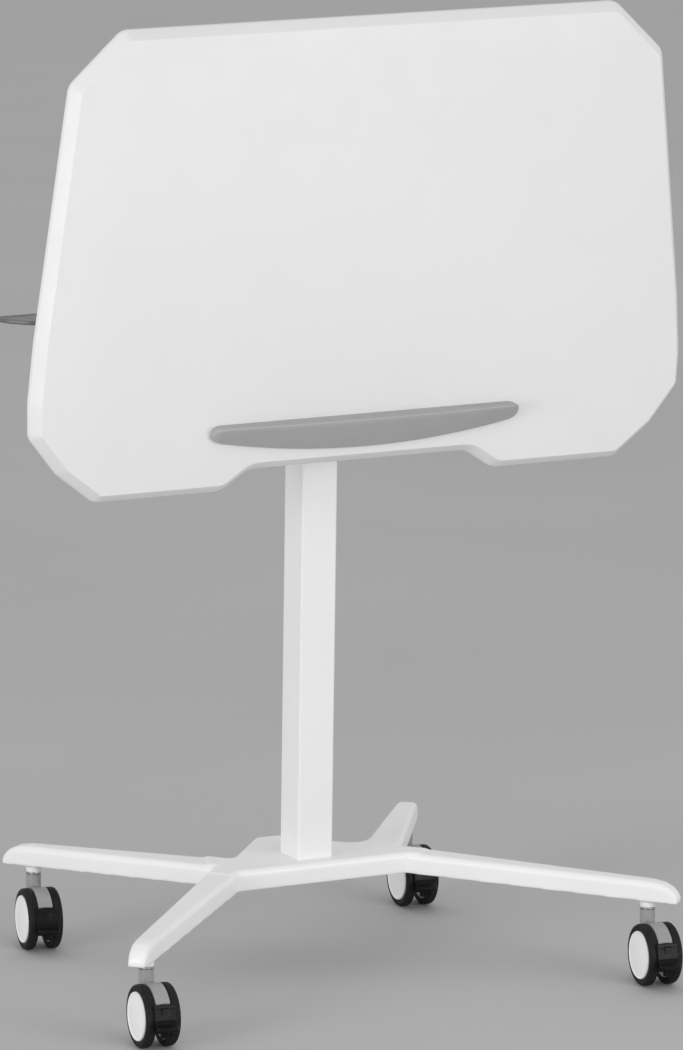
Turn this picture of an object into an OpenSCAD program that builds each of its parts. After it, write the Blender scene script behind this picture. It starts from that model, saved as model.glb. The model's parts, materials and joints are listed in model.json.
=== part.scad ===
// Portable drawing board: a tilting top on a height-adjustable column,
// standing on a four-legged cast base with braked twin-wheel castors.
// The origin is on the floor, on the column's axis. The user stands on the -Y side.

/* [Board] */
// Thickness of the board
board_t = 16; // [14:1:18]
// Height of the board along its face, top edge to bottom edge
board_h = 447.3; // [440:0.1:455]
// Half the length of the top edge, between its corner cuts
board_half_top = 261.8; // [255:0.1:268]
// Half the width at the widest place
board_half_max = 348.5; // [345:0.1:352]
// Half the length of the bottom edge, between its corner cuts
board_half_bottom = 278.9; // [272:0.1:284]
// Angle past upright at which the board is parked, its top leaning to the user
board_lean = 2.5; // [0:0.1:5]
// Height of the face's top edge when parked
board_top_z = 941.4; // [930:0.1:950]
// Place of the face's top edge when parked, in front of the column axis
board_top_y = -123.2; // [-130:0.1:-118]
// Width of the bevel round the face, measured in the face
bevel_w = 8.5; // [4:0.1:10]
// Depth of the bevel, measured square to the face
bevel_d = 11.5; // [6:0.1:13]
// Half the length of the belly notch's floor
notch_half_floor = 105; // [95:1:110]
// Half the width of the belly notch's mouth
notch_half_mouth = 158; // [150:1:165]
// Depth of the belly notch
notch_depth = 19.3; // [12:0.1:24]

/* [Ledge] */
// Half the length of the ledge
ledge_half_l = 164; // [150:1:170]
// Height of the ledge at its middle
ledge_h = 31; // [24:1:34]
// Height of the ledge at its ends
ledge_end_h = 15; // [10:1:18]
// How far the ledge stands out at its middle
ledge_out = 21; // [16:1:24]
// How far the ledge stands out at its ends
ledge_end_out = 14; // [11:1:15]
// Distance from the face's top edge down to the ledge's top
ledge_s = 380.3; // [370:0.1:385]

/* [Column] */
// Outside width of the outer square tube
outer_w = 38; // [36:1:40]
// Outside width of the inner square tube
inner_w = 32; // [30:1:32]
// Wall of both tubes
tube_wall = 1.5; // [1.2:0.1:1.5]
// Top of the outer tube
outer_top_z = 620; // [600:1:622]
// Top of the inner tube with the column at its lowest
inner_top_z = 640; // [636:1:640]
// How far the column lifts
lift_stroke = 380; // [300:10:380]

/* [Tilt joint] */
// Place of the tilt axis, in front of the column axis
pivot_y = -22; // [-23:0.5:-21]
// Height of the tilt axis with the column at its lowest
pivot_z = 688; // [686:0.5:690]
// Radius of the tilt shaft
shaft_r = 5; // [4.5:0.1:5]
// Radius of the friction sector
sector_r = 30; // [28:0.5:30]

/* [Hand levers] */
// Distance from the column axis to a lever's tip
lever_tip_x = 335; // [325:1:340]
// Distance from the column axis to a lever's pivot
lever_pivot_x = 36; // [34:1:38]
// Height of the lever pivots with the column at its lowest
lever_z = 657; // [656:0.5:658]
// Thickness of the grip paddles
paddle_t = 4; // [4:0.5:6]

/* [Base] */
// Height of the hub's top
hub_top_z = 108; // [106:1:110]
// Thickness of the casting
cast_h = 20; // [18:1:22]
// How far the legs fall between the hub and the castor stems
leg_fall = 9; // [5:1:12]
// Front castor stems, across and forward of the column axis
front_stem = [270.3, -194.7];
// Rear castor stems, across and behind the column axis
rear_stem = [206.4, 178.7];
// How far a leg's tip reaches past its stem
tip_reach = 31; // [28:1:34]
// Rounding of the casting's top edges
cast_fillet = 5; // [3:0.5:6]

/* [Castors] */
// Radius of the wheels
wheel_r = 30; // [28:1:30]
// Radius of the white wheel disc
disc_r = 23.3; // [21:0.1:24]
// Half the castor's width over both wheels
castor_half_w = 18.4; // [17.6:0.2:18.8]
// Distance from the swivel axis to the wheel axle
trail = 21; // [20:0.5:21.5]
// Radius of the axle
axle_r = 3; // [2.5:0.1:3]
// Radius of the stem's shank
stem_r = 5; // [4.5:0.1:5]

/* [Hidden] */
$fn = 48;

run = 0.05;         // running clearance on a radius
slip = 0.3;         // clearance between sliding or passing faces
cut = 1;            // how far a cutter passes the face it opens

// --- colours ---
white = [0.92, 0.92, 0.92];
grey = [0.62, 0.62, 0.63];
dark_grey = [0.35, 0.35, 0.36];
black = [0.12, 0.12, 0.12];
steel = [0.72, 0.73, 0.75];

// --- shared shapes ---
// Points of an arc, from one angle to another
function arc(c, r, a0, a1, n) = [for (i = [0:n]) let (a = a0 + (a1 - a0) * i / n) c + r * [cos(a), sin(a)]];

// Points that round one corner b of the outline a, b, d with radius r
function corner(a, b, d, r, n = 4) =
    let (
        u = (a - b) / norm(a - b),
        v = (d - b) / norm(d - b),
        half = acos(u * v) / 2,
        m = (u + v) / norm(u + v),
        c = b + m * r / sin(half),
        side = sign(u.x * v.y - u.y * v.x),
        mid = atan2(-m.y, -m.x),
        sweep = 90 - half
    )
    arc(c, r, mid + side * sweep, mid - side * sweep, n);

// An outline whose corners [x, y, r] are rounded
function rounded(pts) = [
    for (i = [0:len(pts) - 1])
        let (
            n = len(pts),
            a = pts[(i + n - 1) % n],
            b = pts[i],
            d = pts[(i + 1) % n]
        )
        each (b[2] > 0 ? corner([a.x, a.y], [b.x, b.y], [d.x, d.y], b[2]) : [[b.x, b.y]])
];

// A rectangle of size w by d with corners of radius r, about the origin
function box_outline(w, d, r) = rounded([
    [w / 2, d / 2, r], [-w / 2, d / 2, r], [-w / 2, -d / 2, r], [w / 2, -d / 2, r]
]);

module square_tube(w, wall, r, h) {
    linear_extrude(h) difference() {
        polygon(box_outline(w, w, r));
        polygon(box_outline(w - 2 * wall, w - 2 * wall, r / 2));
    }
}

// A cylinder along X, from x0 to x1
module rod_x(r, x0, x1, y = 0, z = 0) {
    translate([x0, y, z]) rotate([0, 90, 0]) cylinder(r = r, h = x1 - x0);
}

// A cylinder along Y, from y0 to y1
module rod_y(r, y0, y1, x = 0, z = 0) {
    translate([x, y1, z]) rotate([90, 0, 0]) cylinder(r = r, h = y1 - y0);
}

// A plate in the YZ plane, from x0 to x1
module plate_yz(pts, x0, x1) {
    translate([x0, 0, 0]) rotate([90, 0, 90]) linear_extrude(x1 - x0) polygon(pts);
}

module both_sides() {
    children();
    mirror([1, 0, 0]) children();
}

// --- board ---
// The board's own frame: x across, y up the face from its top edge, z out of the face
module on_board() {
    translate([0, board_top_y, board_top_z]) rotate([90 + board_lean, 0, 0]) children();
}

// Right half of the outline without the notch, as [x, y, corner radius], from the top edge down
side_pts = [
    [board_half_top, 0, 18],
    [315.1, -49.8, 18],
    [344.1, -291, 60],
    [board_half_max, -347.5, 60],
    [board_half_max - 1, -380.1, 14],
    [318.3, -416.9, 22],
    [board_half_bottom, -board_h, 14]
];
// Corners of the notch's right half, at its mouth and at its floor
notch_floor_y = notch_depth - board_h;
notch_mouth = [notch_half_mouth - 12, -board_h];
notch_foot = [notch_half_floor + 12, notch_floor_y];
notch_mouth_r = 26;
notch_foot_r = 26;
notch_edge = concat(
    corner([board_half_bottom, -board_h], notch_mouth, notch_foot, notch_mouth_r, 6),
    corner(notch_mouth, notch_foot, [0, notch_floor_y], notch_foot_r, 6)
);
left_pts = [for (i = [len(side_pts) - 1:-1:0]) [-side_pts[i].x, side_pts[i].y, side_pts[i][2]]];
rim = rounded(concat(side_pts, [[0, -board_h, 0]], left_pts));
board_outline = concat(
    [for (p = rim) if (p.x > 0) p],
    notch_edge,
    [for (i = [len(notch_edge) - 1:-1:0]) [-notch_edge[i].x, notch_edge[i].y]],
    [for (p = rim) if (p.x < 0) p]
);
bevel_angle = atan2(bevel_w, bevel_d);
cutter = 60;        // section of the bevel cutters, larger than the board's thickness

// Cuts the bevel along the edge from p to q, with the board on the left-hand side
module bevel_cut(p, q, extra) {
    translate([p.x, p.y, -bevel_d])
        rotate([0, 0, atan2(q.y - p.y, q.x - p.x)])
            rotate([-bevel_angle, 0, 0])
                translate([-extra, -cutter, 0])
                    cube([norm(q - p) + 2 * extra, cutter, cutter]);
}

function unit(v) = v / norm(v);

// How far point i of an outline moves when every edge moves out by w
function miter(pts, i, w) =
    let (
        n = len(pts),
        a = unit(pts[i] - pts[(i + n - 1) % n]),
        b = unit(pts[(i + 1) % n] - pts[i]),
        na = [a.y, -a.x],
        nb = [b.y, -b.x]
    )
    w * (na + nb) / (1 + na * nb);

// Cuts the bevel along the lower edge and all round the notch
module lower_bevel_cut() {
    e = board_half_bottom + 40;
    low = -board_h - 40;
    foot = concat(
        [[e, -board_h]],
        notch_edge,
        [for (i = [len(notch_edge) - 1:-1:0]) [-notch_edge[i].x, notch_edge[i].y]],
        [[-e, -board_h]]
    );
    w = bevel_w * (1 + cut / bevel_d);
    ends = [[-e, low], [e, low]];
    last = len(foot) - 1;
    wide = [for (i = [0:last]) foot[i] + (i == 0 || i == last ? [0, w] : miter(foot, i, w))];
    under = concat(ends, foot);
    over = concat(ends, wide);
    n = len(under);
    polyhedron(
        points = concat([for (p = under) [p.x, p.y, -bevel_d]], [for (p = over) [p.x, p.y, cut]]),
        faces = concat(
            [[for (i = [0:n - 1]) i], [for (i = [2 * n - 1:-1:n]) i]],
            [for (i = [0:n - 1]) [i, n + i, n + (i + 1) % n, (i + 1) % n]]
        )
    );
}

// Screws that hold the tilt bracket, in the board's frame
bracket_s = 257.5;  // tilt axis, measured down the face
bracket_screw_xy = [for (x = [-66, 0, 66]) for (dy = [-48, 48]) [x, dy - bracket_s]];
ledge_screw_x = [-90, 0, 90];
ledge_mid_y = -ledge_s - 14;
pocket_d = 2;       // how deep the ledge sits in the face
wood_screw_r = 2;

// Outline of the ledge in the board's frame, grown by g
function ledge_outline(g) =
    let (
        drop = ledge_h - ledge_end_h,
        bow_r = (ledge_half_l * ledge_half_l + drop * drop) / (2 * drop),
        bow_a = asin((ledge_half_l - 8) / bow_r)
    )
    concat(
        corner([-ledge_half_l - g, -ledge_s - 40], [-ledge_half_l - g, -ledge_s + g], [0, -ledge_s + g], 9),
        corner([0, -ledge_s + g], [ledge_half_l + g, -ledge_s + g], [ledge_half_l + g, -ledge_s - 40], 9),
        arc([0, bow_r - ledge_s - ledge_h], bow_r + g, -90 + bow_a, -90 - bow_a, 24)
    );

module board() {
    n = len(side_pts);
    color(white) on_board() difference() {
        translate([0, 0, -board_t]) linear_extrude(board_t) polygon(board_outline);
        bevel_cut([board_half_top, 0], [-board_half_top, 0], 40);
        both_sides() for (i = [0:n - 2])
            bevel_cut([side_pts[i + 1].x, side_pts[i + 1].y], [side_pts[i].x, side_pts[i].y], 30);
        lower_bevel_cut();
        translate([0, 0, -pocket_d]) linear_extrude(pocket_d + cut) polygon(ledge_outline(slip / 2));
        for (x = ledge_screw_x) translate([x, ledge_mid_y, -board_t - cut])
            cylinder(r = wood_screw_r + run, h = board_t + 2 * cut);
        for (p = bracket_screw_xy) translate([p.x, p.y, -board_t - cut])
            cylinder(r = wood_screw_r + run, h = 11 + cut);
    }
}

module ledge() {
    plan_drop = ledge_out - ledge_end_out;
    plan_r = (ledge_half_l * ledge_half_l + plan_drop * plan_drop) / (2 * plan_drop);
    plan_a = asin((ledge_half_l - 10) / plan_r);
    end_pt = [ledge_half_l, 0];
    end_corner = [ledge_half_l - 3, ledge_end_out];
    plan = concat(
        [[ledge_half_l, -pocket_d], end_pt],
        corner(end_pt, end_corner, [0, ledge_out], 9),
        arc([0, ledge_out - plan_r], plan_r, 90 - plan_a, 90 + plan_a, 28),
        corner([0, ledge_out], [-end_corner.x, end_corner.y], [-end_pt.x, 0], 9),
        [[-end_pt.x, 0], [-ledge_half_l, -pocket_d]]
    );
    color(grey) on_board() difference() {
        intersection() {
            translate([0, 0, -pocket_d]) linear_extrude(ledge_out + pocket_d) polygon(ledge_outline(0));
            translate([0, cut - ledge_s, 0]) rotate([90, 0, 0])
                linear_extrude(ledge_h + 2 * cut) polygon(plan);
            plate_yz([
                [-ledge_s + cut, -pocket_d - cut], [-ledge_s + cut, ledge_out + cut],
                [-ledge_s - 5, ledge_out + cut], [-ledge_s - ledge_h, 6],
                [-ledge_s - ledge_h - cut, -pocket_d - cut]
            ], -ledge_half_l - cut, ledge_half_l + cut);
        }
        for (x = ledge_screw_x) translate([x, ledge_mid_y, -pocket_d - cut])
            cylinder(r = wood_screw_r + run, h = 9 + cut);
    }
}

// A countersunk-free wood screw: shank upwards from the origin, head below
module wood_screw(shank) {
    cylinder(r = wood_screw_r, h = shank);
    translate([0, 0, -2.2]) difference() {
        cylinder(r = 4, h = 2.2);
        translate([0, 0, -cut]) cylinder(r = 1.6, h = 1.2 + cut, $fn = 6);
    }
}

module ledge_screws() {
    color(steel) on_board() for (x = ledge_screw_x) translate([x, ledge_mid_y, -board_t])
        wood_screw(board_t + 5);
}

bracket_t = 3;      // sheet of the tilt bracket
ear_in_x = 42;      // inner face of the tilt bracket's ears
ear_t = 4;

module bracket_screws() {
    color(steel) on_board() for (p = bracket_screw_xy) translate([p.x, p.y, -board_t - bracket_t])
        wood_screw(bracket_t + 10);
}

// Places a shape drawn in the YZ plane with the tilt axis at its origin
module at_pivot() {
    translate([0, pivot_y, pivot_z]) children();
}

// Distance from the tilt axis to the board's back face
back_gap = (pivot_y - board_top_y) * cos(board_lean) + (pivot_z - board_top_z) * sin(board_lean) - board_t;

module tilt_bracket() {
    reach = back_gap - bracket_t;
    color(white) difference() {
        union() {
            on_board() translate([0, -bracket_s, -board_t - bracket_t])
                linear_extrude(bracket_t) polygon(box_outline(160, 124, 10));
            both_sides() at_pivot() rotate([board_lean, 0, 0]) plate_yz(concat(
                [[-reach - bracket_t / 2, 58], [-reach - bracket_t / 2, -58]],
                arc([0, 0], 13, -115, 115, 16)
            ), ear_in_x, ear_in_x + ear_t);
        }
        rod_x(7 + run, -ear_in_x - ear_t - cut, ear_in_x + ear_t + cut, pivot_y, pivot_z);
        on_board() for (p = bracket_screw_xy) translate([p.x, p.y, -board_t - bracket_t - cut])
            cylinder(r = wood_screw_r + run, h = bracket_t + 2 * cut);
        on_board() for (x = ledge_screw_x) translate([x, ledge_mid_y, -board_t - 4]) cylinder(r = 5, h = 4);
    }
}

module tilt_bushes() {
    color(black) both_sides() difference() {
        union() {
            rod_x(7, ear_in_x, ear_in_x + ear_t, pivot_y, pivot_z);
            rod_x(9.5, ear_in_x - 1.6, ear_in_x, pivot_y, pivot_z);
            rod_x(9.5, ear_in_x + ear_t, ear_in_x + ear_t + 1.6, pivot_y, pivot_z);
        }
        rod_x(shaft_r + run, ear_in_x - 3, ear_in_x + ear_t + 3, pivot_y, pivot_z);
    }
}

sector_x = [10, 14];    // inner and outer face of the friction sector

module friction_sector() {
    reach = back_gap - bracket_t;
    color(steel) difference() {
        union() {
            at_pivot() plate_yz(concat([[0, 0]], arc([0, 0], sector_r, -80, 75, 32)),
                sector_x[0], sector_x[1]);
            at_pivot() rod_x(11, sector_x[0] - 3, sector_x[1] + 3);
            at_pivot() rotate([board_lean, 0, 0]) plate_yz(
                [[-reach, 16], [-reach, -16], [0, -9], [0, 9]], sector_x[0], sector_x[1]);
        }
        rod_x(shaft_r + run, 0, 30, pivot_y, pivot_z);
    }
}

// --- tilting head on the inner column ---
head_t = 5;             // base plate of the head bracket
head_ear_x = 50;        // inner face of the head bracket's ears

module head_bracket() {
    color(white) difference() {
        union() {
            translate([0, -8, inner_top_z]) linear_extrude(head_t)
                polygon(box_outline(2 * (head_ear_x + ear_t), 56, 4));
            both_sides() plate_yz(concat(
                [[-36, inner_top_z], [-9, inner_top_z]],
                arc([pivot_y, pivot_z], 13, 0, 180, 16)
            ), head_ear_x, head_ear_x + ear_t);
        }
        translate([0, 0, inner_top_z - cut]) cylinder(r = 6, h = head_t + 2 * cut);
        rod_x(shaft_r + run, -60, 60, pivot_y, pivot_z);
        for (x = [-18, 18]) for (y = [-9, 9]) translate([x, y, inner_top_z - cut])
            cylinder(r = 2 + run, h = head_t + 2 * cut);
    }
}

module tilt_shaft() {
    color(steel) difference() {
        rod_x(shaft_r, -58, 58, pivot_y, pivot_z);
        for (x = [-56.5, 55.5]) difference() {
            rod_x(shaft_r + cut, x, x + 1, pivot_y, pivot_z);
            rod_x(shaft_r - 0.7, x - cut, x + 1 + cut, pivot_y, pivot_z);
        }
    }
}

module shaft_clips() {
    color(steel) for (x = [-56.45, 55.55]) difference() {
        rod_x(9, x, x + 0.9, pivot_y, pivot_z);
        rod_x(shaft_r - 0.68, x - cut, x + 2, pivot_y, pivot_z);
    }
}

// --- hand levers ---
block_base_z = inner_top_z + head_t;
pin_r = 2.5;

// Die-cast block that carries both lever pivots and the gas spring's end
module lever_block() {
    color(dark_grey) difference() {
        union() {
            translate([0, 0, block_base_z]) linear_extrude(4)
                polygon(box_outline(2 * lever_pivot_x + 16, 24, 4));
            for (s = [-1, 1]) for (y = [-11.5, 8]) translate([0, y, 0]) rotate([90, 0, 0]) mirror([0, 0, 1])
                linear_extrude(3.5) polygon(concat(
                    [[s * lever_pivot_x - 6, block_base_z], [s * lever_pivot_x + 6, block_base_z]],
                    arc([s * lever_pivot_x, lever_z], 6, 0, 180, 12)
                ));
        }
        translate([0, 0, block_base_z - cut]) cylinder(r = 4 + run, h = 4 + 2 * cut);
        for (x = [-lever_pivot_x, lever_pivot_x]) rod_y(pin_r + 0.02, -12, 12, x, lever_z);
        for (x = [-18, 18]) for (y = [-9, 9]) translate([x, y, block_base_z - cut])
            cylinder(r = 2 + run, h = 4 + 2 * cut);
    }
}

module block_screws() {
    color(steel) for (x = [-18, 18]) for (y = [-9, 9]) translate([x, y, block_base_z + 4]) {
        translate([0, 0, -head_t - 4]) cylinder(r = 2, h = head_t + 4);
        difference() {
            cylinder(r = 2.9, h = 2.4);
            translate([0, 0, 1]) cylinder(r = 1.5, h = 2, $fn = 6);
        }
    }
}

module lever_pins() {
    color(steel) for (x = [-lever_pivot_x, lever_pivot_x]) rod_y(pin_r, -12.5, 12.5, x, lever_z);
}

arm_w = 14;             // width of the lever arms
arm_t = 3;
arm_end_x = 290;        // outer end of the arm, inside the paddle

// One lever arm on the +X side, whose nose ends at nose_x
module lever_arm(nose_x) {
    difference() {
        union() {
            translate([nose_x, -arm_w / 2, lever_z - arm_t / 2]) cube([arm_end_x - nose_x, arm_w, arm_t]);
            rod_y(5, -arm_w / 2, arm_w / 2, lever_pivot_x, lever_z);
        }
        rod_y(pin_r + run, -arm_w, arm_w, lever_pivot_x, lever_z);
    }
}

// Plan of a grip paddle on the +X side: straight behind, swept round in front
paddle_in_x = 238;
paddle_back_y = 10;
paddle_front_y = -33;
paddle_plan = rounded([
    [paddle_in_x, paddle_back_y, 4],
    [paddle_in_x, -12, 6],
    [paddle_in_x + 34, paddle_front_y, 30],
    [lever_tip_x - 26, paddle_front_y, 34],
    [lever_tip_x - 4, -8, 24],
    [lever_tip_x, paddle_back_y - 2, 3],
    [lever_tip_x - 2, paddle_back_y, 1.5]
]);

module grip_paddle() {
    difference() {
        translate([0, 0, lever_z - paddle_t / 2]) linear_extrude(paddle_t) polygon(paddle_plan);
        translate([paddle_in_x - cut, -arm_w / 2 - run, lever_z - arm_t / 2 - run])
            cube([arm_end_x - paddle_in_x + cut + 0.1, arm_w + 2 * run, arm_t + 2 * run]);
    }
}

module height_lever() {
    color(steel) mirror([1, 0, 0]) lever_arm(-3);
}

module height_paddle() {
    color(dark_grey) mirror([1, 0, 0]) grip_paddle();
}

module tilt_lever() {
    color(steel) lever_arm(8);
}

module tilt_paddle() {
    color(dark_grey) grip_paddle();
}

// Shoe on the tilt lever's nose that bears on the sector's rim
module friction_shoe() {
    color(black) difference() {
        translate([8, -6.5, lever_z + arm_t / 2]) cube([8, 12, 10]);
        rod_x(sector_r + slip, 0, 30, pivot_y, pivot_z);
    }
}

// --- column ---
cavity_w = outer_w - 2 * tube_wall;
foot_z = hub_top_z - cast_h + 1;    // underside of the foot plate
foot_t = 4;
foot_w = 84;
foot_d = 60;
foot_screw_xy = [for (x = [-33, 33]) for (y = [-21, 21]) [x, y]];
gas_r = 11;
gas_bore_r = 9.6;
gas_top_z = 530;
gas_rod_r = 4;
inner_bottom_z = 125;

module outer_column() {
    color(white) translate([0, 0, foot_z + foot_t])
        square_tube(outer_w, tube_wall, 2.4, outer_top_z - foot_z - foot_t);
}

module column_collar() {
    opening = inner_w + 2 * slip;
    color(white) difference() {
        union() {
            translate([0, 0, outer_top_z - 20]) linear_extrude(20)
                polygon(box_outline(cavity_w - 0.1, cavity_w - 0.1, 1));
            translate([0, 0, outer_top_z]) linear_extrude(4) polygon(box_outline(outer_w, outer_w, 2.4));
        }
        translate([0, 0, outer_top_z - 20 - cut]) linear_extrude(30)
            polygon(box_outline(opening, opening, 1));
    }
}

module inner_column() {
    color(white) translate([0, 0, inner_bottom_z])
        square_tube(inner_w, tube_wall, 2, inner_top_z - inner_bottom_z);
}

module inner_glide() {
    color(black) translate([0, 0, inner_bottom_z]) linear_extrude(22) difference() {
        polygon(box_outline(cavity_w - 2 * slip, cavity_w - 2 * slip, 1));
        polygon(box_outline(inner_w + 0.04, inner_w + 0.04, 2));
    }
}

module gas_cylinder() {
    color(black) difference() {
        union() {
            translate([0, 0, foot_z + foot_t]) cylinder(r = gas_r, h = gas_top_z - foot_z - foot_t);
            translate([0, 0, foot_z - 9]) cylinder(r = 4, h = 9 + foot_t);
        }
        translate([0, 0, foot_z + foot_t + 8]) cylinder(r = gas_bore_r, h = gas_top_z);
    }
}

module gas_rod_guide() {
    color(steel) difference() {
        union() {
            translate([0, 0, gas_top_z - 12]) cylinder(r = gas_bore_r - 0.02, h = 12);
            translate([0, 0, gas_top_z]) cylinder(r = gas_r, h = 4);
        }
        translate([0, 0, gas_top_z - 12 - cut]) cylinder(r = gas_rod_r + run, h = 20);
    }
}

module gas_spring_nut() {
    color(steel) difference() {
        translate([0, 0, foot_z - 6.5]) cylinder(r = 7.5, h = 6.5, $fn = 6);
        translate([0, 0, foot_z - 6.5 - cut]) cylinder(r = 4.02, h = 10);
    }
}

rod_top_z = block_base_z + 4;
pin_bottom_z = rod_top_z - 14;
valve_r = 2;

module gas_rod() {
    color(steel) difference() {
        union() {
            translate([0, 0, 112]) cylinder(r = gas_bore_r - run, h = 14);
            translate([0, 0, 112]) cylinder(r = gas_rod_r, h = rod_top_z - 112);
        }
        translate([0, 0, pin_bottom_z - 6]) cylinder(r = valve_r + run, h = 40);
    }
}

module release_pin() {
    color(steel) translate([0, 0, pin_bottom_z])
        cylinder(r = valve_r, h = lever_z - arm_t / 2 - slip - pin_bottom_z);
}

module foot_plate() {
    color(steel) difference() {
        translate([0, 0, foot_z]) linear_extrude(foot_t) polygon(box_outline(foot_w, foot_d, 5));
        translate([0, 0, foot_z - cut]) cylinder(r = 4 + run, h = foot_t + 2 * cut);
        for (p = foot_screw_xy) translate([p.x, p.y, foot_z - cut])
            cylinder(r = 3 + run, h = foot_t + 2 * cut);
    }
}

module foot_screws() {
    color(steel) for (p = foot_screw_xy) translate([p.x, p.y, foot_z]) {
        cylinder(r = 3, h = foot_t + 10);
        translate([0, 0, -4]) difference() {
            cylinder(r = 5, h = 4);
            translate([0, 0, -cut]) cylinder(r = 2.5, h = 2.5 + cut, $fn = 6);
        }
    }
}

// --- base casting ---
front_root = [104.5, -26.6];    // where a front leg's centre line meets the hub
rear_root = [87, 6.9];          // where a rear leg's centre line meets the hub
front_root_half = 15.5;
rear_root_half = 19.6;
stem_half = 10.3;               // half width of a leg at its stem
hub_front_y = -35.5;
root_overlap = 24;              // how far a leg runs back into the hub
leg_len_front = norm(front_stem - front_root);
leg_len_rear = norm(rear_stem - rear_root);
under_z = hub_top_z - cast_h - leg_fall;

// One cross-section slice of a leg, h high with its top at z, at distance s along the leg
module leg_slice(s, half, z, h, fillet) {
    translate([s, 0, z]) rotate([90, 0, 90]) linear_extrude(0.2) polygon(concat(
        [[-half, -h], [half, -h]],
        arc([half - fillet, -fillet], fillet, 0, 90, 4),
        arc([-half + fillet, -fillet], fillet, 90, 180, 4)
    ));
}

// A leg along +X from its root to the rounded lip past its stem
module leg(l, root_half) {
    slope = leg_fall / l;
    tip_angles = [0, 25, 48, 68, 84];
    hull() {
        leg_slice(-root_overlap, root_half, hub_top_z, cast_h, cast_fillet);
        for (a = tip_angles) {
            s = l + 4 + (tip_reach - 4) * sin(a);
            bottom = hub_top_z - cast_h - slope * s;
            top = bottom + 4 + (cast_h - 4) * cos(a);
            half = stem_half - 3.6 * (1 - cos(a * 0.9));
            leg_slice(s, half, top, top - bottom, min(cast_fillet, (top - bottom) / 2));
        }
    }
}

// The hollow under a leg, kept clear of the stem's boss
module leg_channel(l, root_half) {
    wall = 3.5;
    start = 26;
    end = l - 16;
    end_half = stem_half - wall + 0.4;
    rotate([0, atan(leg_fall / l), 0]) translate([0, 0, hub_top_z - cast_h - 3])
        linear_extrude(cast_h - 2) polygon([
            [start, root_half - wall - 2], [end, end_half], [end, -end_half], [start, -root_half + wall + 2]
        ]);
}

// Places a leg's shape on both legs of a pair
module leg_pair(root, stem) {
    both_sides() translate([root.x, root.y, 0])
        rotate([0, 0, atan2(stem.y - root.y, stem.x - root.x)]) children();
}

hub_outline = rounded([
    [92, hub_front_y, 0], [101, -2, 0], [72, 22, 0], [12.5, 84.5, 6],
    [-12.5, 84.5, 6], [-72, 22, 0], [-101, -2, 0], [-92, hub_front_y, 0]
]);

// Fill of the corner between the hub's slanted rear edge and a rear leg
rear_dir = (rear_stem - rear_root) / leg_len_rear;
rear_corner = rear_root + rear_root_half * [-rear_dir.y, rear_dir.x];
rear_fillet = concat(
    [rear_corner - 6 * rear_dir],
    corner([12.5, 84.5], rear_corner, rear_corner + 60 * rear_dir, 20, 6)
);

module base_casting() {
    hub_z = hub_top_z - cast_h;
    color(white) difference() {
        union() {
            translate([0, 0, hub_z]) linear_extrude(cast_h) polygon(hub_outline);
            both_sides() translate([0, 0, hub_z]) linear_extrude(cast_h - cast_fillet - 1) polygon(rear_fillet);
            leg_pair(front_root, front_stem) leg(leg_len_front, front_root_half);
            leg_pair(rear_root, rear_stem) leg(leg_len_rear, rear_root_half);
        }
        leg_pair(front_root, front_stem) leg_channel(leg_len_front, front_root_half);
        leg_pair(rear_root, rear_stem) leg_channel(leg_len_rear, rear_root_half);
        at_stems() translate([0, 0, under_z - 6]) cylinder(r = 7.02, h = 22.5);
        translate([0, 0, hub_z - cut]) linear_extrude(cast_h + 2 * cut)
            polygon(box_outline(outer_w + 0.1, outer_w + 0.1, 2.4));
        translate([0, 0, hub_z - cut]) linear_extrude(foot_z + foot_t - hub_z + cut)
            polygon(box_outline(foot_w + 0.4, foot_d + 0.4, 5));
        for (p = foot_screw_xy) translate([p.x, p.y, hub_z]) cylinder(r = 3 + 0.02, h = 16);
    }
}

// Places a castor's shape, drawn with its swivel axis at the origin, on all four stems
module at_stems() {
    both_sides() {
        translate([front_stem.x, front_stem.y, 0]) children();
        translate([rear_stem.x, rear_stem.y, 0]) children();
    }
}

module stem_sockets() {
    color(black) at_stems() translate([0, 0, under_z]) difference() {
        cylinder(r = 7, h = 16.5);
        translate([0, 0, -cut]) cylinder(r = stem_r + 0.02, h = 16 + cut);
    }
}

neck_top_z = 70;        // top of a castor's swivelling neck
neck_r = 7.3;

module castor_stems() {
    color(steel) at_stems() {
        translate([0, 0, 61]) cylinder(r = stem_r, h = under_z + 15 - 61);
        translate([0, 0, neck_top_z + 0.8]) cylinder(r = 7.2, h = under_z - neck_top_z - 0.8);
    }
}

// --- castors ---
// Each castor is drawn with its swivel axis at the origin and its axle along X, on the -Y side
swivel = [
    [-front_stem.x, front_stem.y, -6.4], [front_stem.x, front_stem.y, -7.2],
    [-rear_stem.x, rear_stem.y, -10.7], [rear_stem.x, rear_stem.y, -6.5]
];

module at_castor(i) {
    translate([swivel[i].x, swivel[i].y, 0]) rotate([0, 0, swivel[i][2]]) children();
}

fork_half = 7;          // half width of the fork between the wheels
fork_r = 30.4;          // radius of the fork's curved back
slot_half = 3.5;        // half width of the slot that the pedal's arm works in
pedal_pivot = [-trail - 21.5, wheel_r + 12.7];
trunnion_r = 2;
strap_angle = 145;      // where the fork's curved back ends in front, from +Y round over the top

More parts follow.
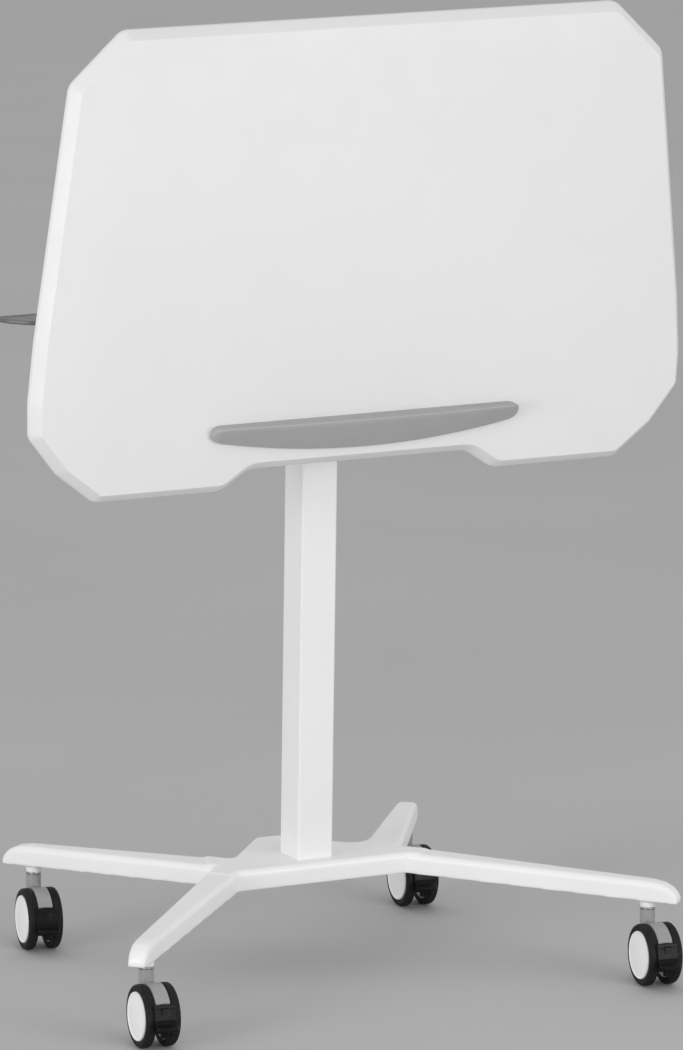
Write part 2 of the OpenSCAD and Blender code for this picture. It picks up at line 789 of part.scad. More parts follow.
// Curved fork between the wheels, with the swivelling neck
module fork() {
    axle_c = [-trail, wheel_r];
    color(grey) difference() {
        union() {
            plate_yz(concat(
                arc(axle_c, fork_r, 0, strap_angle, 32),
                [pedal_pivot + [-3, -1.5], pedal_pivot + [0, -4.6], [-trail - 8, wheel_r - 7]],
                arc(axle_c, 9, 230, 320, 8)
            ), -fork_half, fork_half);
            translate([0, 0, wheel_r + 16]) cylinder(r = neck_r, h = neck_top_z - wheel_r - 16);
            rod_y(3.2, -neck_r - 1.4, -neck_r + 1, 0.6, wheel_r + 29.3);
        }
        translate([0, 0, 59]) cylinder(r = stem_r + run, h = 20);
        rod_x(axle_r + 0.02, -20, 20, -trail, wheel_r);
        rod_x(trunnion_r + run, -20, 20, pedal_pivot.x, pedal_pivot.y);
        translate([-slot_half, -trail - 40, wheel_r - 14])
            cube([2 * slot_half, 30, 30.6]);
    }
}

module axle() {
    color(steel) rod_x(axle_r, -13.2, 13.2, -trail, wheel_r);
}

disc_in_x = fork_half + 0.6;    // inner face of a wheel

// Wheel disc on the +X side, with its domed outer cap
module disc() {
    color(white) translate([0, -trail, wheel_r]) rotate([0, 90, 0]) rotate_extrude($fn = 96) polygon([
        [axle_r + run, disc_in_x], [7, disc_in_x], [7, 10.5], [19, 10.5], [19, disc_in_x + 0.6],
        [disc_r, disc_in_x + 0.6], [disc_r, castor_half_w - 1.4], [disc_r - 0.6, castor_half_w - 0.4],
        [disc_r - 1.8, castor_half_w - 0.4], [disc_r - 2.4, castor_half_w - 0.9],
        [10, castor_half_w - 0.2], [0, castor_half_w], [0, 13.6], [axle_r + run, 13.6]
    ]);
}

// Tyre on the +X side, with soft shoulders
module tyre() {
    in_r = disc_r + 0.02;
    color(black) translate([0, -trail, wheel_r]) rotate([0, 90, 0]) rotate_extrude($fn = 96) polygon(concat(
        [[in_r, disc_in_x], [wheel_r - 2.2, disc_in_x]],
        arc([wheel_r - 2.2, disc_in_x + 2.2], 2.2, -90, 0, 5),
        arc([wheel_r - 3.4, castor_half_w - 4.6], 3.4, 0, 80, 6),
        [[disc_r + 1.2, castor_half_w - 1.6], [in_r, castor_half_w - 2.2]]
    ));
}

module disc_a() {
    mirror([1, 0, 0]) disc();
}

module tyre_a() {
    mirror([1, 0, 0]) tyre();
}

pedal_half = 10.7;
pedal_gap_r = wheel_r + 0.9;    // radius that the wide part of the pedal stays outside
tab_half = 4;

// Brake pedal: a wide foot plate in front of both wheels, on an arm between them
module pedal() {
    c = [-trail, wheel_r];
    shelf_y = -trail - 43;
    color(black) {
        intersection() {
            plate_yz(concat(
                arc(c, pedal_gap_r, 149.5, 192, 8),
                [
                    c + [-33.6, -9.4], c + [-35, -8], c + [-35.2, -6],
                    c + [-42.2, -5], c + [-43, -3.9], c + [-42.2, -2.7], c + [-35.4, -0.4],
                    c + [-32.6, 2.6], c + [-31.2, 7], c + [-30.2, 12], c + [-28.6, 16]
                ]
            ), -pedal_half, pedal_half);
            linear_extrude(60) polygon(rounded([
                [pedal_half, shelf_y, 5], [pedal_half, 0, 0], [-pedal_half, 0, 0], [-pedal_half, shelf_y, 5]
            ]));
        }
        plate_yz([
            c + [-30.2, 13.5], c + [-32.6, -1], c + [-32.6, -13.6], c + [-31, -14.4], c + [-29.4, -13.4],
            c + [-26, -5], pedal_pivot + [3.4, -4], pedal_pivot + [4, 0],
            pedal_pivot + [2.2, 2.4], pedal_pivot + [-2, 2.6]
        ], -slot_half + slip, slot_half - slip);
        plate_yz([
            c + [-32.8, -6], c + [-32.8, -13.8], c + [-31.2, -14.8], c + [-29.2, -13.6], c + [-29.8, -6]
        ], -tab_half, tab_half);
        rod_x(trunnion_r, -fork_half, fork_half, pedal_pivot.x, pedal_pivot.y);
    }
}

base_casting();
stem_sockets();
castor_stems();
foot_plate();
foot_screws();
outer_column();
column_collar();
gas_cylinder();
gas_rod_guide();
gas_spring_nut();
inner_column();
inner_glide();
gas_rod();
head_bracket();
lever_block();
block_screws();
lever_pins();
tilt_shaft();
shaft_clips();
release_pin();
height_lever();
height_paddle();
tilt_lever();
tilt_paddle();
friction_shoe();
board();
ledge();
ledge_screws();
tilt_bracket();
bracket_screws();
tilt_bushes();
friction_sector();
at_castor(0) fork();  // fork_front_left
at_castor(0) axle();  // axle_front_left
at_castor(0) pedal();  // pedal_front_left
at_castor(0) disc_a();  // disc_a_front_left
at_castor(0) disc();  // disc_b_front_left
at_castor(0) tyre_a();  // tyre_a_front_left
at_castor(0) tyre();  // tyre_b_front_left
at_castor(1) fork();  // fork_front_right
at_castor(1) axle();  // axle_front_right
at_castor(1) pedal();  // pedal_front_right
at_castor(1) disc_a();  // disc_a_front_right
at_castor(1) disc();  // disc_b_front_right
at_castor(1) tyre_a();  // tyre_a_front_right
at_castor(1) tyre();  // tyre_b_front_right
at_castor(2) fork();  // fork_rear_left
at_castor(2) axle();  // axle_rear_left
at_castor(2) pedal();  // pedal_rear_left
at_castor(2) disc_a();  // disc_a_rear_left
at_castor(2) disc();  // disc_b_rear_left
at_castor(2) tyre_a();  // tyre_a_rear_left
at_castor(2) tyre();  // tyre_b_rear_left
at_castor(3) fork();  // fork_rear_right
at_castor(3) axle();  // axle_rear_right
at_castor(3) pedal();  // pedal_rear_right
at_castor(3) disc_a();  // disc_a_rear_right
at_castor(3) disc();  // disc_b_rear_right
at_castor(3) tyre_a();  // tyre_a_rear_right
at_castor(3) tyre();  // tyre_b_rear_right
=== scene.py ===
"""A portable drawing board on a castor base: pieces, materials, light and camera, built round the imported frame."""

import json
import math

import bmesh
import bpy
from mathutils import Matrix, Vector

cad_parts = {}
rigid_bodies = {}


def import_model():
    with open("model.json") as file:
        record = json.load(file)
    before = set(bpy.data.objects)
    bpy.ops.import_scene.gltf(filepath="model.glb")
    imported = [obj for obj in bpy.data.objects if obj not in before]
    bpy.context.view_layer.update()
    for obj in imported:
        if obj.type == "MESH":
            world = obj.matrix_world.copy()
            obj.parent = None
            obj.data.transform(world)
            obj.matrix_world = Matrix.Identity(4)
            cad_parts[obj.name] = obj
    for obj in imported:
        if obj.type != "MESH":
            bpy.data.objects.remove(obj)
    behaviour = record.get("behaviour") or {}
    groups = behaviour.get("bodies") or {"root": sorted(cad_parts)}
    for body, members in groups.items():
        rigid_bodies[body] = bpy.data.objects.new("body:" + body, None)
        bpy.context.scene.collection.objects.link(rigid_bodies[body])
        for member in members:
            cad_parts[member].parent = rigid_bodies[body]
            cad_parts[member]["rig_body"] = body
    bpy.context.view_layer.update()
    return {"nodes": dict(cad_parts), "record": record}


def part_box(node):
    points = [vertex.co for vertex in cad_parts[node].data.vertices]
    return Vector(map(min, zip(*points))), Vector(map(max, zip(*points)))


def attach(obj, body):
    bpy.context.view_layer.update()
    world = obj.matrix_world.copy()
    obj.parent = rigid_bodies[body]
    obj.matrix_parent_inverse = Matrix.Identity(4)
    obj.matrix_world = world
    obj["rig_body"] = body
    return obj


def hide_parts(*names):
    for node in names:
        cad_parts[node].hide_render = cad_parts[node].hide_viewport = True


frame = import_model()
NODES = frame["nodes"]
RECORD = frame["record"]
MM = 0.001
SAME_POINT = 0.002 * MM  # CAD meshes repeat their points along edges, and points this close are one
CASTORS = ("front_left", "front_right", "rear_left", "rear_right")


# ---------------------------------------------------------------- materials

class Surface:
    """A procedural material: one shader whose colour, roughness and relief come from noise in object space."""

    def __init__(self, name, roughness, metallic=0.0, **sockets):
        self.material = bpy.data.materials.new(name)
        self.material.use_nodes = True
        self.tree = self.material.node_tree
        self.shader = self.tree.nodes["Principled BSDF"]
        self.shader.inputs["Roughness"].default_value = roughness
        self.shader.inputs["Metallic"].default_value = metallic
        for socket, value in sockets.items():
            self.shader.inputs[socket.replace("_", " ")].default_value = value
        self.coords = self.tree.nodes.new("ShaderNodeTexCoord").outputs["Object"]
        self.relief = None

    def link(self, source, target):
        self.tree.links.new(source, target)

    def noise(self, scale, detail=3.0, rough=0.5, stretch=None):
        """A noise pattern with that many waves to the metre, drawn out along an axis by stretch."""
        node = self.tree.nodes.new("ShaderNodeTexNoise")
        node.inputs["Scale"].default_value = scale
        node.inputs["Detail"].default_value = detail
        node.inputs["Roughness"].default_value = rough
        source = self.coords
        if stretch:
            mapping = self.tree.nodes.new("ShaderNodeMapping")
            mapping.inputs["Scale"].default_value = stretch
            self.link(source, mapping.inputs["Vector"])
            source = mapping.outputs["Vector"]
        self.link(source, node.inputs["Vector"])
        return node.outputs["Fac"]

    def cells(self, scale):
        """A pattern of small rounded cells, as spark-eroded moulds leave."""
        node = self.tree.nodes.new("ShaderNodeTexVoronoi")
        node.feature = "SMOOTH_F1"
        node.inputs["Scale"].default_value = scale
        self.link(self.coords, node.inputs["Vector"])
        return node.outputs["Distance"]

    def spread(self, pattern, low, high):
        """Maps a noise's usual range, 0.3 to 0.7, on to low to high."""
        node = self.tree.nodes.new("ShaderNodeMapRange")
        node.inputs["From Min"].default_value = 0.3
        node.inputs["From Max"].default_value = 0.7
        node.inputs["To Min"].default_value = low
        node.inputs["To Max"].default_value = high
        self.link(pattern, node.inputs["Value"])
        return node.outputs["Result"]

    def colour(self, dark, light, pattern):
        ramp = self.tree.nodes.new("ShaderNodeValToRGB")
        ramp.color_ramp.elements[0].position = 0.35
        ramp.color_ramp.elements[1].position = 0.65
        ramp.color_ramp.elements[0].color = (*dark, 1.0)
        ramp.color_ramp.elements[1].color = (*light, 1.0)
        self.link(pattern, ramp.inputs["Fac"])
        self.link(ramp.outputs["Color"], self.shader.inputs["Base Color"])
        return self

    def gloss(self, low, high, pattern):
        self.link(self.spread(pattern, low, high), self.shader.inputs["Roughness"])
        return self

    def bump(self, pattern, depth_mm, strength):
        """Adds relief of that depth, over any relief that is there."""
        node = self.tree.nodes.new("ShaderNodeBump")
        node.inputs["Distance"].default_value = depth_mm * MM
        node.inputs["Strength"].default_value = strength
        self.link(pattern, node.inputs["Height"])
        if self.relief:
            self.link(self.relief, node.inputs["Normal"])
        self.relief = node.outputs["Normal"]
        self.link(self.relief, self.shader.inputs["Normal"])
        return self


def grey(value, warm=0.0):
    """A neutral colour, made slightly warmer by warm."""
    return (value * (1 + warm), value, value * (1 - warm))


def powder_coat(name, light, dark, low, high):
    """Sprayed and baked paint: a fine orange peel and a soft, slightly uneven gloss."""
    s = Surface(name, high, Coat_Weight=0.12, Coat_Roughness=0.25)
    s.colour(dark, light, s.noise(9, 4))
    s.gloss(low, high, s.noise(60, 5))
    s.bump(s.noise(420, 2, 0.4), 0.10, 0.30)
    return s.bump(s.noise(1700, 3, 0.6), 0.03, 0.35).material


def foil(name):
    """Matt foil pressed on to fibreboard: a faint pebble, and the board's own slow waviness under it."""
    s = Surface(name, 0.46, Coat_Weight=0.05, Coat_Roughness=0.35)
    s.colour(grey(0.785, 0.002), grey(0.805, 0.002), s.noise(5, 6, 0.6))
    s.gloss(0.40, 0.52, s.noise(35, 6, 0.6))
    s.bump(s.noise(14, 2, 0.4), 0.35, 0.10)
    s.bump(s.cells(1500), 0.035, 0.35)
    return s.bump(s.noise(3200, 2, 0.5), 0.02, 0.30).material


def moulded(name, light, dark, low, high, grain=1300, depth=0.04, wave=0.10, shine=0.5):
    """Injection-moulded plastic: a spark-eroded grain, so many cells to the metre and depth mm deep, and under it
    a slow wave."""
    s = Surface(name, high, IOR=1.47, Specular_IOR_Level=shine)
    s.colour(dark, light, s.noise(26, 5, 0.6))
    s.gloss(low, high, s.noise(110, 4, 0.6))
    s.bump(s.cells(grain), depth, 0.5)
    return s.bump(s.noise(45, 2), wave, 0.12).material


def tread(name):
    """Soft polyurethane with a little floor dust in its pores."""
    s = Surface(name, 0.62, Specular_IOR_Level=0.18)
    s.colour(grey(0.010), grey(0.014), s.noise(90, 6, 0.7))
    s.gloss(0.50, 0.72, s.noise(260, 5, 0.7))
    s.bump(s.noise(950, 4, 0.65), 0.05, 0.45)
    return s.bump(s.noise(120, 2), 0.12, 0.15).material


def plated(name, light, dark, low, high):
    """Zinc-plated steel, with the faint lines of its rolling or turning."""
    s = Surface(name, high, metallic=1.0)
    s.colour(dark, light, s.noise(70, 5, 0.65))
    s.gloss(low, high, s.noise(180, 5, 0.6))
    s.bump(s.noise(60, 3, 0.5, stretch=(1.0, 1.0, 34.0)), 0.02, 0.35)
    return s.bump(s.noise(1400, 2), 0.01, 0.3).material


def tumbled(name):
    """Tumbled die-casting: pitted and dull."""
    s = Surface(name, 0.5, metallic=1.0)
    s.colour(grey(0.20), grey(0.30), s.noise(140, 6, 0.7))
    s.gloss(0.38, 0.55, s.noise(300, 5, 0.6))
    return s.bump(s.noise(800, 5, 0.7), 0.06, 0.5).material


MATERIALS = {
    "casting_paint": powder_coat("casting_paint", grey(0.87), grey(0.845), 0.32, 0.42),
    "column_paint": powder_coat("column_paint", grey(0.85), grey(0.83), 0.32, 0.42),
    "bracket_paint": powder_coat("bracket_paint", grey(0.80), grey(0.77), 0.32, 0.44),
    "board_foil": foil("board_foil"),
    "ledge_plastic": moulded("ledge_plastic", grey(0.400), grey(0.385), 0.42, 0.54, 1500, 0.03),
    "grip_plastic": moulded("grip_plastic", grey(0.135), grey(0.120), 0.30, 0.42, 1200, 0.04),
    "castor_grey": moulded("castor_grey", grey(0.34), grey(0.30), 0.34, 0.46, 1600, 0.03),
    "pedal_black": moulded("pedal_black", grey(0.0050), grey(0.0038), 0.26, 0.38, 1200, 0.03, shine=0.16),
    "disc_white": moulded("disc_white", grey(0.87), grey(0.86), 0.30, 0.34, 1800, 0.010, wave=0.01),
    "tyre_dark": tread("tyre_dark"),
    "black_nylon": moulded("black_nylon", grey(0.022), grey(0.016), 0.40, 0.55),
    "black_paint": powder_coat("black_paint", grey(0.018), grey(0.013), 0.28, 0.40),
    "die_cast": tumbled("die_cast"),
    "steel": plated("steel", grey(0.62, -0.01), grey(0.50, -0.02), 0.24, 0.38),
}


def finish_with(obj, slot):
    obj.data.materials.clear()
    obj.data.materials.append(MATERIALS[slot])


# ---------------------------------------------------------------- mesh tools

def smooth_shading(obj, degrees):
    """Smooth shading that breaks at edges sharper than this."""
    for face in obj.data.polygons:
        face.use_smooth = True
    bpy.context.view_layer.objects.active = obj
    obj.select_set(True)
    bpy.ops.object.shade_smooth_by_angle(angle=math.radians(degrees))
    obj.select_set(False)


def soften(node, width_mm, segments=3):
    """Rounds the edges of a CAD node as it is shown."""
    obj = NODES[node]
    weld = obj.modifiers.new("weld", "WELD")
    weld.merge_threshold = SAME_POINT
    bevel = obj.modifiers.new("rounding", "BEVEL")
    bevel.width = width_mm * MM
    bevel.segments = segments
    bevel.limit_method = "ANGLE"
    bevel.angle_limit = math.radians(30)
    bevel.use_clamp_overlap = True
    bevel.harden_normals = False
    for face in obj.data.polygons:
        face.use_smooth = True
    normals = obj.modifiers.new("normals", "WEIGHTED_NORMAL")
    normals.keep_sharp = True


def new_piece(name, mesh, node, slot):
    """Makes a mesh the shown form of a CAD node, on that node's body, and gives back its object."""
    obj = bpy.data.objects.new(name, mesh)
    bpy.context.scene.collection.objects.link(obj)
    finish_with(obj, slot)
    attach(obj, NODES[node]["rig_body"])
    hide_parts(node)
    return obj


def welded(node):
    """A bmesh of a CAD node with its split edges joined."""
    bm = bmesh.new()
    bm.from_mesh(NODES[node].data)
    bmesh.ops.remove_doubles(bm, verts=bm.verts, dist=SAME_POINT)
    return bm


def melted(bm, voxel_mm, passes):
    """One skin round the closed shapes in a bmesh, every edge made soft, as a casting's or a moulding's are.
    It is rebuilt on a grid of voxel_mm and then smoothed that many times. The bmesh is used up."""
    mesh = bpy.data.meshes.new("recast")
    bm.to_mesh(mesh)
    bm.free()
    work = bpy.data.objects.new("recast", mesh)
    bpy.context.scene.collection.objects.link(work)
    remesh = work.modifiers.new("remesh", "REMESH")
    remesh.mode = "VOXEL"
    remesh.voxel_size = voxel_mm * MM
    remesh.use_smooth_shade = True
    relax = work.modifiers.new("relax", "SMOOTH")
    relax.factor = 0.5
    relax.iterations = passes
    depsgraph = bpy.context.evaluated_depsgraph_get()
    result = bpy.data.meshes.new_from_object(work.evaluated_get(depsgraph))
    bpy.data.objects.remove(work)
    for face in result.polygons:
        face.use_smooth = True
    return result


def recast(node, voxel_mm, passes):
    """The skin of a CAD node, with soft edges."""
    return melted(welded(node), voxel_mm, passes)


def bend(start, middle, end, steps):
    """Points of a smooth bend from start to end, drawn towards middle, without its ends."""
    points = []
    for i in range(1, steps):
        t = i / steps
        points.append(start * (1 - t) ** 2 + middle * (2 * t * (1 - t)) + end * t * t)
    return points


def flat_rim(node, normal):
    """The longest edge loop round a CAD node's outermost flat faces along normal."""
    bm = welded(node)
    top = max(v.co.dot(normal) for v in bm.verts)
    flat = {f for f in bm.faces if all(top - v.co.dot(normal) < 0.01 * MM for v in f.verts)}
    after = {}
    for face in flat:
        for loop in face.loops:
            if not any(other in flat for other in loop.edge.link_faces if other is not face):
                after[loop.vert.index] = loop.link_loop_next.vert.index
    places = {v.index: v.co.copy() for v in bm.verts}
    bm.free()
    loops = []
    while after:
        first = min(after)
        ring, here = [first], after.pop(first)
        while here != first:
            ring.append(here)
            here = after.pop(here)
        loops.append([places[i] for i in ring])
    return max(loops, key=lambda ring: sum((a - b).length for a, b in zip(ring, ring[1:] + ring[:1])))


def thinned(ring, shortest_mm):
    """The ring without points that end a very short step or lie on a straight run."""
    kept = []
    for i, p in enumerate(ring):
        before, behind = p - ring[i - 1], ring[(i + 1) % len(ring)] - p
        if before.length < shortest_mm * MM:
            continue
        if before.angle(behind) > math.radians(0.2):
            kept.append(p)
    return kept


def inset(flat, distance):
    """A closed outline of 2D points, run anticlockwise, moved inwards by distance."""
    moved = []
    for i, p in enumerate(flat):
        a = (p - flat[i - 1]).normalized()
        b = (flat[(i + 1) % len(flat)] - p).normalized()
        na, nb = Vector((-a.y, a.x)), Vector((-b.y, b.x))
        moved.append(p + (na + nb) * (distance / (1 + na.dot(nb))))
    return moved


def rimmed_slab(name, ring, normal, profile):
    """A slab whose edge follows a closed ring of points. The profile lists (inset, depth) in mm, from the
    side that normal points out of to the other side."""
    u = Vector((1, 0, 0))
    v = normal.cross(u).normalized()
    level = ring[0].dot(normal)
    flat = [Vector((p.dot(u), p.dot(v))) for p in ring]
    area = sum(p.x * q.y - q.x * p.y for p, q in zip(flat, flat[1:] + flat[:1]))
    if area < 0:
        flat.reverse()
    bm = bmesh.new()
    rings = []
    for inwards, depth in profile:
        base = normal * (level - depth * MM)
        rings.append([bm.verts.new(base + u * p.x + v * p.y) for p in inset(flat, inwards * MM)])
    count = len(flat)
    for upper, lower in zip(rings, rings[1:]):
        for i in range(count):
            j = (i + 1) % count
            bm.faces.new((upper[i], lower[i], lower[j], upper[j]))
    bm.faces.new(rings[0])
    bm.faces.new(list(reversed(rings[-1])))
    bmesh.ops.recalc_face_normals(bm, faces=bm.faces)
    mesh = bpy.data.meshes.new(name)
    bm.to_mesh(mesh)
    bm.free()
    return mesh


# ---------------------------------------------------------------- board and ledge

def mount(name):
    return next(m for m in RECORD["mounts"] if m["name"] == name)


FACE = Vector(mount("board_face")["axis"]).normalized()


def make_board():
    """The board, with a crisp face line, a long flat bevel and a rolled outer edge."""
    ring = thinned(flat_rim("board", -FACE), 0.4)
    heights = [v.co.dot(FACE) for v in NODES["board"].data.vertices]
    thick = (max(heights) - min(heights)) / MM
    bevel_width, bevel_depth = 8.5, 11.5
    roll, crease, arris = 1.6, 0.5, 1.1
    edge, brow = Vector((0, thick - bevel_depth)), Vector((bevel_width, thick))
    along = (brow - edge).normalized()
    profile = [Vector((arris, 0)), Vector((0.35, 0.35)), Vector((0, arris))]
    first, second = edge - Vector((0, roll)), edge + along * roll
    profile += [first, *bend(first, edge, second, 5), second, (edge + brow) / 2]
    first, second = brow - along * crease, brow + Vector((crease, 0))
    profile += [first, *bend(first, brow, second, 3), second]
    mesh = rimmed_slab("board_panel", ring, -FACE, profile)
    smooth_shading(new_piece("board_panel", mesh, "board", "board_foil"), 40)


def nose(past, radius):
    """How far a rounded end of that radius has curved in, at a distance past where it starts."""
    past = min(max(past, 0.0), radius)
    return radius - math.sqrt(radius * radius - past * past)


def ledge_section(x, half, height, out):
    """The ledge cut across at x, as (up, out) in mm from the top of its back: flat top, one full front face.
    half, height and out are its half length, and its height and depth in the middle."""
    end_radius, end_height, end_out, shell, foot_out = 9, 15, 14, 2, 5.5
    past = abs(x) - (half - end_radius)
    swell = 1 - (x / half) ** 2
    top = -nose(past, end_radius)
    bottom = -(end_height + (height - end_height) * swell) + nose(past + 3, 12) / 2
    bottom = min(bottom, top - 0.4)
    rim = shell + (end_out - shell + (out - end_out) * swell) * (1 - nose(past, end_radius) / end_radius)
    foot = min(rim, foot_out)
    soft = min(1.8, rim / 3, (top - bottom) / 3)
    first, second = Vector((top, rim - soft)), Vector((top - soft, rim - 0.05))
    brow = [first, *bend(first, Vector((top, rim)), second, 4), second]
    last = Vector((bottom + soft * 0.6, foot))
    middle = (second + last) / 2 + Vector((0, min(1.0, rim / 12)))
    under = Vector((bottom, foot - soft))
    chin = bend(last, Vector((bottom, foot - 0.3)), under, 3)
    back = -1.5
    front = bend(second, middle, last, 6)
    return [Vector((top, back)), *brow, *front, last, *chin, under, Vector((bottom, back))]


def make_ledge():
    """The paper ledge: a long moulding with a flat top, a full front and rounded ends."""
    sunk, steps, just_inside = 2 * MM, 64, 0.9995
    raised = Vector((0, FACE.z, -FACE.y))
    places = [v.co for v in NODES["ledge"].data.vertices]
    half = max(p.x for p in places) / MM
    level = max(p.dot(raised) for p in places)
    face = min(p.dot(FACE) for p in places) + sunk
    height = (level - min(p.dot(raised) for p in places)) / MM
    out = (max(p.dot(FACE) for p in places) - face) / MM
    bm = bmesh.new()
    rings = []
    for i in range(steps + 1):
        x = half * math.sin(math.pi * (i / steps - 0.5)) * just_inside
        ring = [raised * (level + p.x * MM) + FACE * (face + p.y * MM) for p in ledge_section(x, half, height, out)]
        rings.append([bm.verts.new(p + Vector((x * MM, 0, 0))) for p in ring])
    count = len(rings[0])
    for here, there in zip(rings, rings[1:]):
        for i in range(count):
            j = (i + 1) % count
            bm.faces.new((here[i], here[j], there[j], there[i]))
    bm.faces.new(rings[0])
    bm.faces.new(list(reversed(rings[-1])))
    bmesh.ops.recalc_face_normals(bm, faces=bm.faces)
    mesh = bpy.data.meshes.new("ledge_moulding")
    bm.to_mesh(mesh)
    bm.free()
    smooth_shading(new_piece("ledge_moulding", mesh, "ledge", "ledge_plastic"), 50)


# ---------------------------------------------------------------- base

def rounded(corners):
    """A flat outline in mm from its corners (x, y, radius)."""
    places = [Vector((x, y)) for x, y, _ in corners]
    outline = []
    for i, (_, _, radius) in enumerate(corners):
        here, before, behind = places[i], places[i - 1], places[(i + 1) % len(places)]
        if not radius:
            outline.append(here)
            continue
        a, b = (before - here).normalized(), (behind - here).normalized()
        reach = radius / math.tan(a.angle(b) / 2)
        first, second = here + a * reach, here + b * reach
        outline += [first, *bend(first, here, second, 8), second]
    return outline


def beside_leg(root, stem, run, aside):
    """The point in plan that lies run out along a leg from its root, and aside to the left of its middle."""
    along = (Vector(stem) - Vector(root)).normalized()
    return Vector(root) + along * run + Vector((-along.y, along.x)) * aside


def castor_stems():
    """Where each castor's swivel axis stands in plan, in metres."""
    joints = RECORD["behaviour"]["joints"]
    return {place: next(j["pos_m"][:2] for j in joints if j["name"] == "swivel_" + place) for place in CASTORS}


def hub_outline():
    """The hub in plan, in mm: straight in front, running a little way out into each leg, narrow at the back.
    front and rear run from a leg's root to its stem. The rear left corner is sharper than the right one."""
    stems = {place: [c / MM for c in spot] for place, spot in castor_stems().items()}
    front, rear = ((104.5, -26.6), stems["front_right"]), ((87, 6.9), stems["rear_right"])
    left_corner = 8
    side = [
        (92.5, -35.6, 0),
        (*beside_leg(*front, 12, -14), 0), (*beside_leg(*front, 12, 14), 0),
        (101, -3, 0),
        (*beside_leg(*rear, 12, -16.5), 0), (*beside_leg(*rear, 30, 16.6), 0),
        (*beside_leg(*rear, 0, 19), 22),
        (12.5, 84.5, 7),
    ]
    other = [(-x, y, min(r, left_corner)) for x, y, r in reversed(side)]
    return rounded(side + other)


def make_base():
    """The cast base: the legs as cut, over the hub a plate whose rounded edge runs into them, and a boss
    under each leg's tip round the castor's stem."""
    fillet, plate, sunk = 5.0, 11.0, 5.6
    boss_radius, boss_height, boss_middle = 7.5 * MM, 13 * MM, 78 * MM
    bm = welded("base_casting")
    top = max(v.co.z for v in bm.verts)
    for vertex in bm.verts:
        if top - vertex.co.z < 0.05 * MM:
            vertex.co.z -= sunk * MM
    ring = [Vector((p.x * MM, p.y * MM, top)) for p in hub_outline()]
    profile = []
    for i in range(6):
        angle = math.radians(90 * i / 5)
        profile.append((fillet * (1 - math.sin(angle)), fillet * (1 - math.cos(angle))))
    slab = rimmed_slab("hub", ring, Vector((0, 0, 1)), profile + [(0, plate)])
    bm.from_mesh(slab)
    bpy.data.meshes.remove(slab)
    for x, y in castor_stems().values():
        bmesh.ops.create_cone(bm, cap_ends=True, segments=48, radius1=boss_radius, radius2=boss_radius,
                              depth=boss_height, matrix=Matrix.Translation((x, y, boss_middle)))
    new_piece("base_cast", melted(bm, 1.1, 8), "base_casting", "casting_paint")


# ---------------------------------------------------------------- levers and pedals

def distance_to(ring, p):
    """How far a 2D point is from a closed outline."""
    best = 1.0
    for a, b in zip(ring, ring[1:] + ring[:1]):
        edge = b - a
        t = max(0.0, min(1.0, (p - a).dot(edge) / edge.length_squared))
        best = min(best, (p - a - edge * t).length)
    return best


def make_paddle(side):
    """A grip paddle, rounded all round, with a shallow dish that leaves a raised rim."""
    node = side + "_paddle"
    rim, dish, skin = 3.0 * MM, 0.7 * MM, 1.5 * MM
    ring = [Vector((p.x, p.y)) for p in flat_rim(node, Vector((0, 0, 1)))]
    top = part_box(node)[1].z
    mesh = recast(node, 0.7, 5)
    for vertex in mesh.vertices:
        if top - vertex.co.z > skin:
            continue
        inwards = distance_to(ring, Vector((vertex.co.x, vertex.co.y)))
        t = max(0.0, min(1.0, (inwards - rim) / rim))
        vertex.co.z -= dish * t * t * (3 - 2 * t)
    new_piece(node + "_grip", mesh, node, "grip_plastic")


def make_pedal(place):
    """A brake pedal with soft moulded edges, its highest part drawn up a little."""
    node = "pedal_" + place
    mesh = recast(node, 0.45, 3)
    brow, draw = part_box(node)[1].z - 2 * MM, 0.6
    for vertex in mesh.vertices:
        vertex.co.z += draw * max(0.0, vertex.co.z - brow)
    new_piece(node + "_moulding", mesh, node, "pedal_black")


# ---------------------------------------------------------------- floor, light and camera

def make_floor():
    mesh = bpy.data.meshes.new("floor")
    bm = bmesh.new()
    bmesh.ops.create_grid(bm, x_segments=1, y_segments=1, size=40)
    bm.to_mesh(mesh)
    bm.free()
    floor = bpy.data.objects.new("floor", mesh)
    bpy.context.scene.collection.objects.link(floor)
    surface = Surface("floor_paper", 0.9, Specular_IOR_Level=0.1)
    surface.colour(grey(0.50), grey(0.52), surface.noise(1.5, 3))
    mesh.materials.append(surface.material)


def make_light(name, place, target, size, power):
    data = bpy.data.lights.new(name, "AREA")
    data.shape = "DISK"
    data.size = size
    data.energy = power
    light = bpy.data.objects.new(name, data)
    light.location = place
    light.rotation_euler = (Vector(target) - Vector(place)).to_track_quat("-Z", "Y").to_euler()
    bpy.context.scene.collection.objects.link(light)


def make_lights():
    middle = (0, 0, 0.55)
    make_light("side", (-4.8, -1.7, 0.95), middle, 2.2, 100)
    make_light("front", (2.2, -5.0, 0.9), middle, 3.0, 107)
    world = bpy.data.worlds.new("studio")
    bpy.context.scene.world = world
    world.use_nodes = True
    sky = world.node_tree.nodes["Background"]
    sky.inputs["Color"].default_value = (1.0, 1.0, 1.0, 1.0)
    sky.inputs["Strength"].default_value = 0.67


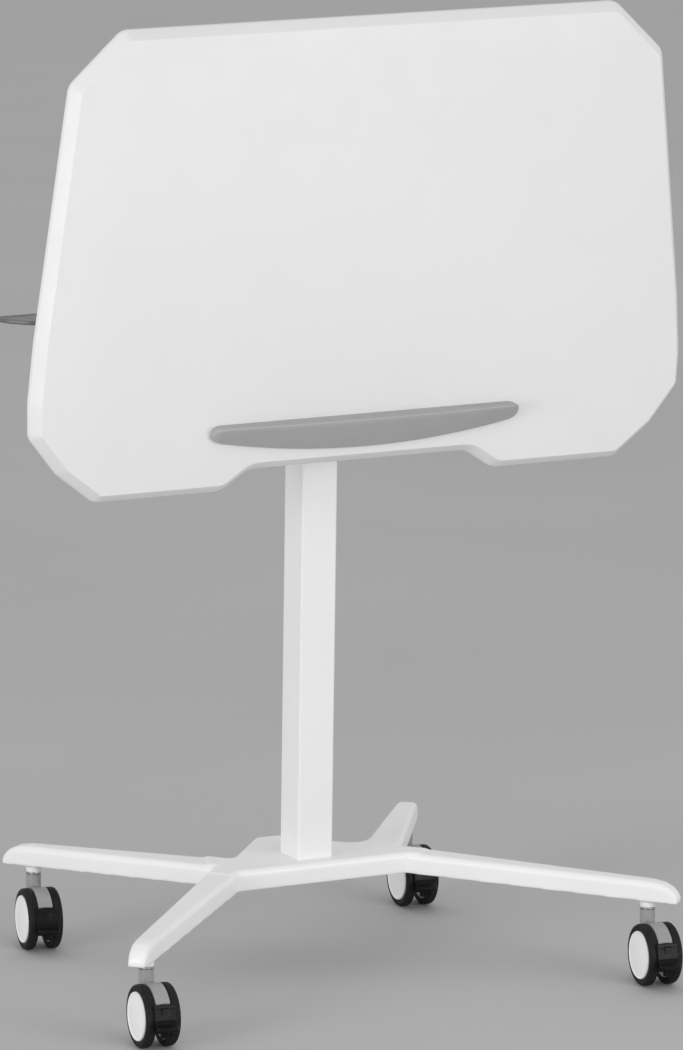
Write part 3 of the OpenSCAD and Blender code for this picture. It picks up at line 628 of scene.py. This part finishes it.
def make_camera():
    """The camera stands in front, to the user's left, a little above the board."""
    place = Vector((-3.61877, -6.84018, 2.01489))
    heading, drop, roll = math.radians(28.101), math.radians(11.547), math.radians(0.815)
    ahead = Vector((math.sin(heading) * math.cos(drop), math.cos(heading) * math.cos(drop), -math.sin(drop)))
    level = Vector((math.cos(heading), -math.sin(heading), 0))
    upright = level.cross(ahead)
    right = level * math.cos(roll) + upright * math.sin(roll)
    up = upright * math.cos(roll) - level * math.sin(roll)
    data = bpy.data.cameras.new("camera")
    data.sensor_fit = "AUTO"
    data.sensor_width = 36
    data.lens = 281.83
    data.clip_end = 200
    camera = bpy.data.objects.new("camera", data)
    camera.matrix_world = Matrix((right, up, -ahead)).transposed().to_4x4()
    camera.location = place
    bpy.context.scene.collection.objects.link(camera)
    bpy.context.scene.camera = camera


# ---------------------------------------------------------------- put together

for part in RECORD["subparts"]:
    finish_with(NODES[part["node"]], part["material_slot"])

make_board()
make_ledge()
make_base()
for side in ("height", "tilt"):
    make_paddle(side)
for place in CASTORS:
    make_pedal(place)
    soften("fork_" + place, 0.5)
    for wheel in "ab":
        soften(f"disc_{wheel}_{place}", 0.35)
        soften(f"tyre_{wheel}_{place}", 0.4)
    soften("axle_" + place, 0.3, segments=2)

EDGE_RADII_MM = {
    "outer_column": 0.4, "column_collar": 0.4, "inner_column": 0.4, "head_bracket": 0.7, "tilt_bracket": 0.7,
    "lever_block": 0.6, "friction_sector": 0.3, "height_lever": 0.5, "tilt_lever": 0.5, "friction_shoe": 0.4,
    "foot_plate": 0.5, "castor_stems": 0.4, "tilt_bushes": 0.3, "tilt_shaft": 0.4, "gas_cylinder": 0.6,
    "gas_rod_guide": 0.3, "gas_rod": 0.3, "gas_spring_nut": 0.4, "foot_screws": 0.3, "block_screws": 0.25,
    "bracket_screws": 0.25, "ledge_screws": 0.25, "lever_pins": 0.3, "shaft_clips": 0.15, "release_pin": 0.2,
    "stem_sockets": 0.3, "inner_glide": 0.4,
}
for node, radius in EDGE_RADII_MM.items():
    soften(node, radius)

make_floor()
make_lights()
make_camera()
bpy.context.scene.view_settings.view_transform = "Standard"
